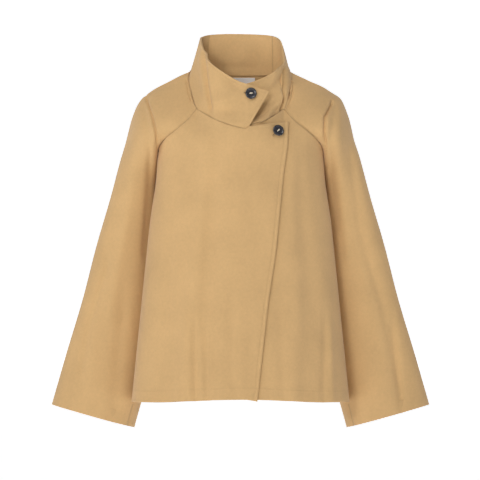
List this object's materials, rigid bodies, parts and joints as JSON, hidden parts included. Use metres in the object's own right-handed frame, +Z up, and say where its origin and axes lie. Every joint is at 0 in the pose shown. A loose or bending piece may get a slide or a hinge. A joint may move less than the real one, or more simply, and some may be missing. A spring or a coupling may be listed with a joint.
{
  "type": "swing jacket",
  "caption": "Short cotton swing jacket with raglan bell sleeves, a lapped plain front and a funnel collar that buttons across the throat.",
  "frame": {"origin": "middle of the neck opening, inside the neck seam", "axes": "+X toward the wearer's left sleeve, -Y out of the front, +Z up along the body"},
  "size_m": [0.75, 0.2514, 0.7852],
  "materials": {
    "face_cloth": "matt cotton twill, tan",
    "facing": "matt cotton twill, tan",
    "button": "dark, satin polished",
    "thread": "cream sewing thread",
    "label": "white woven tape, blank"
  },
  "bodies": {
    "torso": {"left_front_panel": "face_cloth", "right_front_panel": "face_cloth", "right_front_facing": "facing", "left_front_facing": "facing", "back_panel": "face_cloth", "back_neck_facing": "facing", "left_shoulder_front": "face_cloth", "right_shoulder_front": "face_cloth", "left_shoulder_back": "face_cloth", "right_shoulder_back": "face_cloth", "left_front_hem": "facing", "right_front_hem": "facing", "back_hem": "facing", "collar_back": "face_cloth", "inner_collar_back": "facing", "collar_left": "face_cloth", "inner_collar_left": "facing", "collar_right": "face_cloth", "inner_collar_right": "facing", "neck_label": "label", "top_button": "button", "top_button_thread": "thread", "front_button": "button", "front_button_thread": "thread"},
    "front_lap": {"right_front_lap": "face_cloth", "lap_facing": "facing", "front_buttonhole": "face_cloth"},
    "throat_flap": {"collar_flap": "face_cloth", "flap_facing": "facing", "top_buttonhole": "face_cloth"},
    "left_arm": {"left_sleeve_front": "face_cloth", "left_sleeve_back": "face_cloth", "left_sleeve_hem_front": "facing", "left_sleeve_hem_back": "facing"},
    "right_arm": {"right_sleeve_front": "face_cloth", "right_sleeve_back": "face_cloth", "right_sleeve_hem_front": "facing", "right_sleeve_hem_back": "facing"}
  },
  "joints": [
    {"name": "front_lap_fold", "type": "hinge", "parent": "torso", "child": "front_lap", "pos_m": [0.012, -0.09402, -0.0505], "axis": [0, -0.0907, -0.9959], "range_deg": [0, 150], "deforming": ["front_buttonhole"]},
    {"name": "throat_flap_fold", "type": "hinge", "parent": "torso", "child": "throat_flap", "pos_m": [-0.023, -0.07148, 0.053], "axis": [0.3111, -0.2017, -0.9287], "range_deg": [0, 120], "deforming": ["top_buttonhole"]},
    {"name": "left_arm_raise", "type": "hinge", "parent": "torso", "child": "left_arm", "pos_m": [0.217, 0.016, -0.034], "axis": [0, -1, 0], "range_deg": [0, 40]},
    {"name": "right_arm_raise", "type": "hinge", "parent": "torso", "child": "right_arm", "pos_m": [-0.217, 0.016, -0.034], "axis": [0, 1, 0], "range_deg": [0, 40]}
  ]
}
